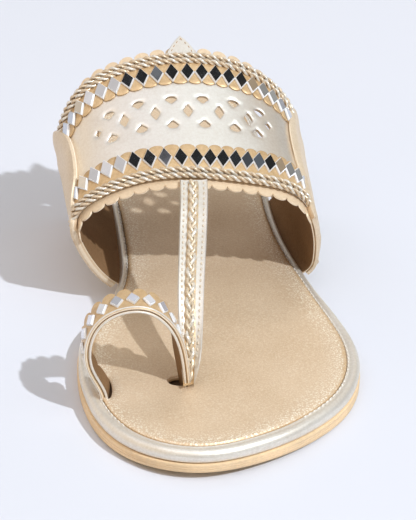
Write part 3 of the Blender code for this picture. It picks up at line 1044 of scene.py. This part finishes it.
def mirror_shape(size):
    """A diamond setting: a flat mirror, a bevel round it and short walls down to the leather."""
    data = bpy.data.meshes.new("mirror_shape")
    verts = []
    for scale, height in ((1.0, 0.0), (1.0, MIRROR_WALL), (MIRROR_FACE, 1.0)):
        for x, y in ((1, 0), (0, 1), (-1, 0), (0, -1)):
            place = (x * scale * size[0] / 2, y * scale * size[1] / 2, height * size[2])
            verts.append([number * MM for number in place])
    faces = [(8, 9, 10, 11), (3, 2, 1, 0)]
    for ring in (0, 4):
        for i in range(4):
            j = (i + 1) % 4
            faces.append((ring + i, ring + j, ring + j + 4, ring + i + 4))
    data.from_pydata(verts, [], faces)
    glass = data.attributes.new("glass", "FLOAT", "FACE")
    glass.data.foreach_set("value", [1.0] + [0.0] * (len(faces) - 1))
    return data


def mirror_recipe():
    sockets = dict(Shape="Object", Tilt="Float", Seed="Int", Glass="Material", Setting="Material")
    recipe = Recipe("mirror_row", **sockets)
    shape = recipe.node("GeometryNodeObjectInfo", {}, {0: recipe.value("Shape")}, out=4)
    tilt = recipe.value("Tilt")
    ends = []
    for sign in (-1.0, 1.0):
        lean, turn = tilt * sign, tilt * (MIRROR_TURN * sign)
        ends.append(recipe.node("ShaderNodeCombineXYZ", {}, {0: lean, 1: lean, 2: turn}))
    sockets = {0: ends[0], 1: ends[1], "Seed": recipe.value("Seed")}
    wobble = recipe.node("FunctionNodeRandomValue", {"data_type": "FLOAT_VECTOR"}, sockets)
    wobble = recipe.node("FunctionNodeEulerToRotation", {}, {0: wobble})
    row = recipe.row(recipe.path, shape, recipe.attribute("along"), wobble)
    recipe.finish(row, smooth=False, Setting=True, Glass=recipe.attribute("glass", "FLOAT"))
    return recipe


def mirror_row(name, form, flat, height, seed, lean, glass, size=MIRROR_SIZE, tilt=MIRROR_TILT):
    """A row of mirrors on a form at flat points, each with its short diagonal along the row."""
    points = form.wrap(flat, height + abs(lean) * size[1] / 3)
    along, back = (unit(form.surface(flat + step) - form.surface(flat - step)) for step in 0.2 * np.eye(2))
    data = path_mesh([points], [form.normal(flat) - lean * back])
    layer = data.attributes.new("along", "FLOAT_VECTOR", "POINT")
    layer.data.foreach_set("vector", along.astype(np.float32).ravel())
    shape = bpy.data.objects.new("mirror_shape", mirror_shape(size))
    bpy.context.scene.collection.objects.link(shape)
    metals = {"Glass": glass.material, "Setting": silver_setting.material}
    made = mirrors.make(data, Shape=shape, Tilt=tilt, Seed=seed, **metals)
    bpy.data.objects.remove(shape)
    piece = placed(name, made, [])
    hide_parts("upper")


def glass_finish(name, shine, colour):
    haze = {"deep": 0.86, "scale": 300.0, "tones": (0.0, 1.0), "gloss": (0.03, 0.09)}
    return flecked(name, colour, **haze, Metallic=shine)


gold_tape = leather("gold_tape", GOLD, GOLD_DEEP, metallic=0.35, roughness=0.42, grain=1.3)
gold_edge = leather("gold_edge", GOLD_DEEP, darker(GOLD_DEEP, 0.6), metallic=0.2, roughness=0.6, grain=0.7)
mirror_glass = glass_finish("mirror_glass", 1.0, MIRROR_COLOUR)
silver_setting = flecked(
    "silver_setting", SILVER, deep=0.8, scale=900.0, tones=(0.0, 1.0), gloss=(0.26, 0.42), Metallic=0.35
)
mirrors = mirror_recipe()


def lobes_between(marks):
    """The run along an edge, and how far its lobes stand out, with a notch at each mark."""
    run, lobes = [], []
    for left, right in zip(marks, marks[1:]):
        share = np.arange(LOBE_POINTS) / LOBE_POINTS
        run.append(left + (right - left) * share)
        lobes.append(np.sqrt(np.maximum(0.0, 1 - (share * 2 - 1) ** 2)))
    return np.append(np.concatenate(run), marks[-1]), np.append(np.concatenate(lobes), 0.0)


def tape_outline(from_front, outer, notch, mirror_run):
    """A tape's flat outline, with one lobe of its scalloped side between each two mirrors."""
    ends = (mirror_run[0] - TAPE_MARGIN, mirror_run[-1] + TAPE_MARGIN)
    run, lobes = lobes_between([ends[0], *mirror_run, ends[1]])
    notches = notch[0] + notch[1] * ramp(run, 0.0, TAPE_BEND)
    scalloped = band.at(run, notches + TAPE_LOBE * lobes, from_front)
    plain = straight_edge(band, *ends, outer, from_front)
    return round_trip(plain, scalloped) if from_front else round_trip(scalloped, plain)


for name, from_front, outer, middle, notch, phase, left, right, lean, seed in TAPES:
    line, along = band.row(*TAPE_REACH, middle[0], from_front)
    runs = mirror_runs(along, line, phase, left, right)
    outline = tape_outline(from_front, outer, notch, runs)
    cutting = {"finishes": [gold_tape, gold_edge], "rounding": 0.2, "spacing": 1.4}
    tape = cut_leather(name + "_mirror_tape", [outline], band.wrap, TAPE_FACES, **cutting)
    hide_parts("upper")
    spots = band.at(runs, middle[0] + middle[1] * ramp(np.abs(runs), 0.0, TAPE_BEND), from_front)
    mirror_row(name + "_mirrors", band, spots, TAPE_FACES[1] - MIRROR_SINK, seed, lean, mirror_glass)


# Twisted cords: along each edge of the panel lie two cords, each of two metallic threads, one gold
# and one silver, laid up together round a core and couched down over the raw edge of the leather.
# The core's dark tan, glimpsed between the threads, is painted shade for the gaps.
CORD_ROWS = (
    # name, measured from the front, distances from the edge, first and last place across the foot
    ("front", True, (1.3, 3.75), (-53.5, 43.5)),
    ("back", False, (4.2, 6.5), (-48.0, 43.0)),
)
CORD_LAY = 5.0
CORD_RADIUS = 0.58
CORD_THREAD = 0.53
# A real core lies in each cord; its dark tan, glimpsed between the threads, is painted shade for the gaps.
CORD_CORE_SHADE_COLOUR = (0.42, 0.27, 0.14)
CORD_HEIGHT = 1.75
CORD_STEPS = 14
CORD_SIDES = 7
CORD_GOLD = (0.86, 0.69, 0.49)
CORD_SILVER = (0.95, 0.88, 0.76)


def plait_recipe():
    """A strand that winds along a path: round and round in a cord, over and under in a plait."""
    sizes = dict(Across="Float", Lift="Float", Lay="Float", Phase="Float", Folds="Float", Lead="Float")
    recipe = Recipe("strand", **sizes, Thickness="Float", Finish="Material")
    line = recipe.line(recipe.value("Lay") * (1 / CORD_STEPS))
    run = recipe.node("GeometryNodeSplineParameter", out=1)
    angle = run / recipe.value("Lay") * (2 * math.pi) + recipe.value("Phase")
    sway = recipe.value("Across") * recipe.sine(angle)
    rise = recipe.value("Lift") * recipe.sine(angle * recipe.value("Folds") + recipe.value("Lead"))
    up = recipe.attribute("up")
    side = recipe.vector("CROSS_PRODUCT", recipe.node("GeometryNodeInputTangent"), up)
    shift = recipe.vector("ADD", recipe.vector("SCALE", side, sway), recipe.vector("SCALE", up, rise))
    line = recipe.node("GeometryNodeSetPosition", {}, {0: line, "Offset": shift})
    line = recipe.node("GeometryNodeSetCurveNormal", {"mode": "FREE"}, {0: line, "Normal": up})
    sockets = {"Resolution": CORD_SIDES, "Radius": recipe.value("Thickness")}
    ring = recipe.node("GeometryNodeCurvePrimitiveCircle", {"mode": "RADIUS"}, sockets)
    tube = recipe.node("GeometryNodeCurveToMesh", {}, {0: line, 1: ring, "Fill Caps": True})
    recipe.finish(tube, Finish=True)
    return recipe


def metallic_thread(name, colour):
    ply = {"deep": 0.6, "scale": 2400.0, "gloss": (0.26, 0.42), "relief": 0.00005}
    return flecked(name, colour, **ply, Metallic=0.4)


def strand(name, lines, ups, finish, thickness, lay, across=0.0, lift=0.0, phase=0.0, folds=1.0, lead=0.0):
    """One strand along the lines: sizes in millimetres, phase and lead as angles."""
    sizes = {"Thickness": thickness * MM, "Across": across * MM, "Lift": lift * MM, "Lay": lay * MM}
    turns = {"Phase": phase, "Folds": folds, "Lead": lead}
    return placed(name, plait.make(path_mesh(lines, ups), Finish=finish.material, **sizes, **turns), [])


plait = plait_recipe()
cord_gold = metallic_thread("cord_gold", CORD_GOLD)
cord_silver = metallic_thread("cord_silver", CORD_SILVER)
# The core's finish: dark tan, painted shade between the threads.
cord_core = thread_finish("cord_core", CORD_CORE_SHADE_COLOUR)


def twisted_cords(name, lines, ups):
    # Two threads wind round a straight core, whose dark glimpses between them are painted shade.
    for tone, finish, phase, radius in (
        ("gold", cord_gold, 0.0, CORD_RADIUS),
        ("silver", cord_silver, math.pi, CORD_RADIUS),
        ("core", cord_core, 0.0, 0.0),
    ):
        winding = {"across": radius, "lift": radius, "lay": CORD_LAY, "phase": phase, "lead": math.pi / 2}
        piece = strand(name + "_" + tone, lines, ups, finish, thickness=CORD_THREAD, **winding)
        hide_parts("upper")


for name, from_front, distances, reach in CORD_ROWS:
    rows = [band.row(*reach, distance, from_front, 0.5)[0] for distance in distances]
    lines = [band.wrap(row, CORD_HEIGHT) for row in rows]
    twisted_cords(name + "_cords", lines, [band.normal(row) for row in rows])


# Side tabs: gold-tan leather folded up from under the board, one on each side, to cover the ends of
# the band, the tapes and the cords. Their thick cut edge is left pale.
TAB_FACES = (-0.5, 2.25)
TAB_LIFT = 0.5  # how far it stands off the band at its upper edge, and where that fades
TAB_LIFT_RAMP = (1.0, 9.0)
TAB_LIP = 1.3  # how far it is skived from below at that edge, and where that fades
TAB_LIP_RAMP = (0.5, 2.4)
TAB_PROUD = 1.3
TAB_SIDES = (
    # name, bottom place, upper edge points across the foot and back, from the front corner on
    ("medial", -86.0, (
        (-53.0, -26.6), (-50.2, -25.4), (-48.2, -22.0), (-46.3, -17.5), (-43.2, -12.7), (-41.6, -8.0),
        (-41.0, -2.0), (-41.2, 4.0), (-42.0, 9.0), (-44.0, 15.0), (-47.0, 21.5), (-50.0, 26.5),
    )),
    ("lateral", 82.0, (
        (47.5, -26.6), (44.8, -25.2), (42.8, -21.8), (41.2, -16.6), (39.8, -10.6), (38.6, -5.8),
        (37.9, 0.0), (38.0, 7.0), (39.2, 13.5), (42.2, 22.0), (45.2, 26.0),
    )),
)
TAB_CREASES = (
    # in from the upper edge, back from the middle, width, length, depth: where the fold has settled
    (7.0, 12.0, 3.0, 7.0, 0.35), (11.5, 14.0, 2.5, 6.0, -0.3), (17.0, 8.0, 3.0, 9.0, 0.3),
    (9.0, -15.0, 4.0, 5.0, 0.25), (24.0, -6.0, 4.0, 12.0, 0.25), (30.0, 12.0, 3.5, 8.0, -0.25),
)
TAB_COLOUR = (0.82, 0.68, 0.50)
TAB_DEEP = (0.61, 0.46, 0.30)

tab_leather = leather(
    "tab_leather", TAB_COLOUR, TAB_DEEP,
    metallic=0.25, roughness=0.44, grain=0.9, relief=0.00004,
)


def side_tab(name, bottom, corners):
    corners = np.array(corners)
    knots = chord_knots(corners)
    upper = spline(knots, corners, np.arange(0.0, knots[-1], 1.0))
    front = straight_edge(band, bottom, upper[0, 0], -TAB_PROUD, True)[:-1]
    back = straight_edge(band, upper[-1, 0], bottom, -TAB_PROUD, False)[1:]
    outline = np.vstack([front, upper, back, side_line(back[-1], front[0], 1.4)])

    def wrap(flat, height):
        edge = np.interp(flat[:, 1], corners[:, 1], corners[:, 0])
        in_from_edge = np.abs(flat[:, 0] - edge)
        lift = TAB_LIFT * (1 - ramp(in_from_edge, *TAB_LIFT_RAMP))
        for place, station, width, length, depth in TAB_CREASES:
            near = ((in_from_edge - place) / width) ** 2 + ((flat[:, 1] - station) / length) ** 2
            lift = lift - depth * np.exp(-near)
        lip = TAB_LIP * (1 - ramp(in_from_edge, *TAB_LIP_RAMP))
        return band.wrap(flat, height + np.where(height > 1.0, lift, lip))

    cutting = {"finishes": [tab_leather, cut_edge], "rounding": 0.35, "spacing": 1.8}
    piece = cut_leather("side_tab_leather_" + name, [outline], wrap, TAB_FACES, **cutting)
    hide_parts("side_tab_" + name)


for row in TAB_SIDES:
    side_tab(*row)


# Finial: a small triangle of silver leather at the middle of the band's back edge, tucked under the
# cords, with a row of tan stitches along its two free sides.
FINIAL_HALF = 4.9
FINIAL_BASE = -3.4
FINIAL_TIP = 4.8
FINIAL_BULGE = 0.45
FINIAL_FACES = (0.75, 1.75)
FINIAL_INSET = 1.25 / 3.6  # share of the way from its sides to its middle
FINIAL_STITCH = (1.7, 1.05, 0.17)  # pitch, length, radius
SILVER_LEATHER = (0.84, 0.80, 0.735)
SILVER_LEATHER_DEEP = (0.66, 0.60, 0.51)
TAN_THREAD = (0.56, 0.36, 0.19)

silver_leather = leather(
    "silver_leather", SILVER_LEATHER, SILVER_LEATHER_DEEP,
    metallic=0.35, roughness=0.38, grain=0.8, coat=0.1, relief=0.00003,
)
tan_thread = thread_finish("tan_thread", TAN_THREAD)


def finial():
    half = float(band.width([0.0])[0]) / 2
    base = np.array([[-FINIAL_HALF, half + FINIAL_BASE], [FINIAL_HALF, half + FINIAL_BASE]])
    tip = np.array([0.0, half + FINIAL_TIP])
    sides = []
    for start, end in ((base[1], tip), (tip, base[0])):
        share = np.linspace(0.0, 1.0, 15)[:-1, None]
        bulge = FINIAL_BULGE * 4 * share * (1 - share)
        across = (end - start) / np.linalg.norm(end - start)
        sides.append(start + (end - start) * share + bulge * np.array([across[1], -across[0]]))
    outline = np.vstack([side_line(base[0], base[1], 0.8), *sides])
    cutting = {"finishes": [silver_leather, cut_edge], "rounding": 0.25, "spacing": 0.9}
    piece = cut_leather("finial_point", [outline], band.wrap, FINIAL_FACES, **cutting)
    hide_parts("finial")
    paths = [side + (np.array([0.0, half]) - side) * FINIAL_INSET for side in sides]
    lines = [band.wrap(path, FINIAL_FACES[1] + 0.02) for path in paths]
    ups = [band.normal(path) for path in paths]
    row = stitch_row("finial_stitches", lines, ups, tan_thread, *FINIAL_STITCH)
    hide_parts("finial")


finial()


# Toe strap: silver leather folded over at its edges, from under the band's cords down to the slit
# in the insole, where it is pinched into a channel. Fine pale tan stitches run down both edges.
TOE_STRAP = (
    # middle x, station, z, width, from the foot of the post to under the band
    (-10.6, 38.7, 4.7, 2.0),
    (-10.4, 38.9, 9.0, 3.0),
    (-9.9, 40.3, 14.0, 5.2),
    (-9.3, 45.5, 21.5, 7.3),
    (-8.5, 56.5, 30.8, 8.4),
    (-7.0, 70.0, 38.0, 8.9),
    (-5.4, 84.0, 44.0, 9.2),
    (-4.2, 98.5, 50.2, 9.2),
    (-4.0, 107.0, 53.9, 9.2),
)
STRAP_REACH = (0.3, 79.4)
STRAP_FACES = (-0.75, 0.75)
STRAP_TUCK = (56.0, 70.0, 0.85)
STRAP_EDGE = 0.30  # how far its edges are rolled up, and where that starts and ends inside them
STRAP_ROLL = (1.5, 0.5)
STRAP_CHANNEL = (
    # run up the strap from its foot, how far its edges stand forward of its middle
    (0.0, 2.8), (6.0, 2.7), (12.0, 2.2), (20.0, 1.2), (30.0, 0.35), (40.0, 0.0), (90.0, 0.0),
)
STRAP_STITCH = (2.1, 1.25, 0.32)  # pitch, length, radius
STRAP_STITCH_REACH = (14.0, 78.0)
STRAP_STITCH_HEIGHT = 0.81
STITCH_INSET = 1.3
BRAID_BASE = (-0.25, 1.75, 0.28)  # the strip's middle, half its width, its thickness
BRAID_REACH = (5.5, 78.5)
BRAID_HEIGHT = 1.3
BRAID = {"thickness": 0.66, "across": 1.05, "lift": 0.5, "lay": 11.0, "folds": 2.0}
BRAID_COLOUR = (0.90, 0.75, 0.55)
STRAP_THREAD = (0.76, 0.64, 0.48)


def strap_form():
    table = np.array(TOE_STRAP)
    half = np.column_stack([table[:, 3] / 2, np.zeros((len(table), 2))])
    return Form(table[:, :3] - half, table[:, :3] + half, 0, -1)


def strap_wrap(flat, height):
    steps, channel = np.array(STRAP_CHANNEL).T
    half = strap.width(flat[:, 0]) / 2
    cup = np.interp(flat[:, 0], steps, channel) * ((flat[:, 1] / half) ** 2 - 0.6)
    start, end, tuck = STRAP_TUCK
    lift = tuck * ramp(flat[:, 0], start, end)
    rolled = STRAP_EDGE * ramp(np.abs(flat[:, 1]), *(half - inner for inner in STRAP_ROLL))
    thick = np.clip((height - STRAP_FACES[0]) / (STRAP_FACES[1] - STRAP_FACES[0]), 0.0, 1.0)
    return strap.wrap(flat, height + cup + lift + rolled * thick)


def strap_line(share, shift, reach, height):
    """A line along the strap and its ups; its place is a share of half the width, then a shift."""
    run = np.arange(*reach, 0.6)
    flat = np.column_stack([run, share * strap.width(run) / 2 + shift])
    line = strap_wrap(flat, height)
    return line, unit(strap_wrap(flat, height + 0.2) - line)


def toe_strap():
    run = np.arange(*STRAP_REACH, 1.0)
    outline = round_trip(strap.at(run, 0.0, True), strap.at(run, 0.0, False), 0.9)
    cutting = {"rounding": 0.35, "spacing": 1.0, "sharp": 50.0}
    finishes = [silver_leather, cut_edge]
    piece = cut_leather("toe_strap", [outline], strap_wrap, STRAP_FACES, finishes, **cutting)
    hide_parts("upper")
    middle, width, rise = BRAID_BASE
    run = np.arange(*BRAID_REACH, 1.2)
    near, far = (np.column_stack([run, np.full(len(run), middle + side * width)]) for side in (-1, 1))
    faces = STRAP_FACES[1] - 0.1, STRAP_FACES[1] - 0.1 + rise
    cutting = {"rounding": 0.12, "spacing": 1.2, "sharp": 50.0}
    outline = np.vstack([near, far[::-1]])
    strip = cut_leather("toe_strap_strip", [outline], strap_wrap, faces, [gold_tape, gold_tape], **cutting)
    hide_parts("upper")
    sewn = STRAP_STITCH_REACH, STRAP_STITCH_HEIGHT
    lines, ups = zip(*[strap_line(side, -side * STITCH_INSET, *sewn) for side in (-1, 1)])
    row = stitch_row("toe_strap_stitches", lines, ups, strap_thread, *STRAP_STITCH)
    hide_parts("upper")


def toe_braid():
    line, up = strap_line(0.0, BRAID_BASE[0], BRAID_REACH, BRAID_HEIGHT)
    for number, thread in enumerate((braid_thread, cord_silver, braid_thread)):
        name = "toe_braid_strand_%d" % (number + 1)
        piece = strand(name, [line], [up], thread, phase=number * 2 * math.pi / 3, **BRAID)
        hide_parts("upper")


strap = strap_form()
braid_thread = metallic_thread("braid_thread", BRAID_COLOUR)
strap_thread = thread_finish("strap_thread", STRAP_THREAD)
toe_strap()
toe_braid()


# Toe ring: two layers of gold leather over the big toe, from beside the strap's post to a slot at
# the inner edge of the insole, the inner one drawn in the linings' dark brown, partly as painted shade.
# Its back edge is scalloped, and silver piping trims its front edge.
RING = (
    # front edge x, station, back edge x, station, z, from the post to the slot
    (-10.2, 38.0, -11.8, 45.5, 4.7),
    (-10.6, 38.0, -12.4, 45.5, 9.0),
    (-12.0, 37.9, -14.4, 48.0, 20.5),
    (-16.4, 37.6, -17.2, 49.2, 32.4),
    (-22.9, 37.5, -22.8, 49.6, 38.2),
    (-31.3, 37.2, -31.3, 49.4, 39.0),
    (-38.2, 36.8, -38.4, 49.0, 35.5),
    (-42.3, 36.2, -42.9, 48.5, 28.0),
    (-41.9, 35.2, -42.0, 47.0, 18.5),
    (-37.6, 33.8, -36.0, 45.2, 9.0),
    (-37.4, 33.8, -35.4, 45.2, 4.7),
)
RING_ENDS = (0.4, 86.0)
RING_FACES = (0.0, 0.92)
RING_LINING = (-0.92, -0.02)
RING_LINING_INSET = 0.15
RING_NOTCH = 8.7
RING_LOBE = 2.9
RING_BACK_LEVEL = 9.6
RING_MIRROR_LINE = 4.8
RING_MIRRORS = (23.4, 4.75, 12)  # place of the first, pitch, number
RING_SETTING = {"size": (4.4, 6.4, 0.85), "tilt": math.radians(4.0), "lean": 0.03, "seed": 5}
RING_GLASS = (0.90, 0.90, 0.95)
PIPING = (
    # name, distance from the front edge, height, radius
    ("upper", 0.40, 0.95, 0.30),
    ("lower", 0.15, -0.80, 0.38),
)
PIPING_LAY = 7.0


def ring_form():
    table = np.array(RING)
    return Form(table[:, [0, 1, 4]], table[:, [2, 3, 4]], 0, -1)


def toe_ring():
    first, pitch, count = RING_MIRRORS
    runs = first + pitch * np.arange(count)
    middles, lobes = lobes_between(runs)
    lobed = ring.at(middles, RING_NOTCH + RING_LOBE * lobes)
    before = np.arange(RING_ENDS[0], runs[0], 1.3)
    after = np.arange(runs[-1] + 1.0, RING_ENDS[1], 1.3)
    level = [ring.at(run, np.minimum(RING_BACK_LEVEL, ring.width(run) - 0.6)) for run in (before, after)]
    back = np.vstack([level[0], lobed, level[1]])
    outline = round_trip(straight_edge(ring, *RING_ENDS, 0.0, True, 1.0), back)
    cutting = {"finishes": [gold_tape, cut_edge], "rounding": 0.25, "spacing": 1.2}
    piece = cut_leather("toe_ring", [outline], ring.wrap, RING_FACES, **cutting)
    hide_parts("upper")
    # The ring's lining takes the linings' dark brown, which is partly painted shade.
    cutting = {"finishes": [lining_leather, cut_edge], "rounding": 0.22, "spacing": 1.3}
    loops = [inset(outline, RING_LINING_INSET)]
    inner = cut_leather("toe_ring_lining", loops, ring.wrap, RING_LINING, **cutting)
    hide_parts("upper")
    spots, height = ring.at(runs, RING_MIRROR_LINE), RING_FACES[1] - MIRROR_SINK
    mirror_row("toe_ring_mirrors", ring, spots, height, glass=ring_glass, **RING_SETTING)
    for name, distance, height, radius in PIPING:
        flat, _ = ring.row(*RING_ENDS, distance, step=0.6)
        path = [ring.wrap(flat, height)], [ring.normal(flat)], silver_leather
        piping = strand("toe_ring_piping_" + name, *path, thickness=radius, lay=PIPING_LAY)
        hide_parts("upper")


ring = ring_form()
ring_glass = glass_finish("ring_glass", 0.55, RING_GLASS)
toe_ring()
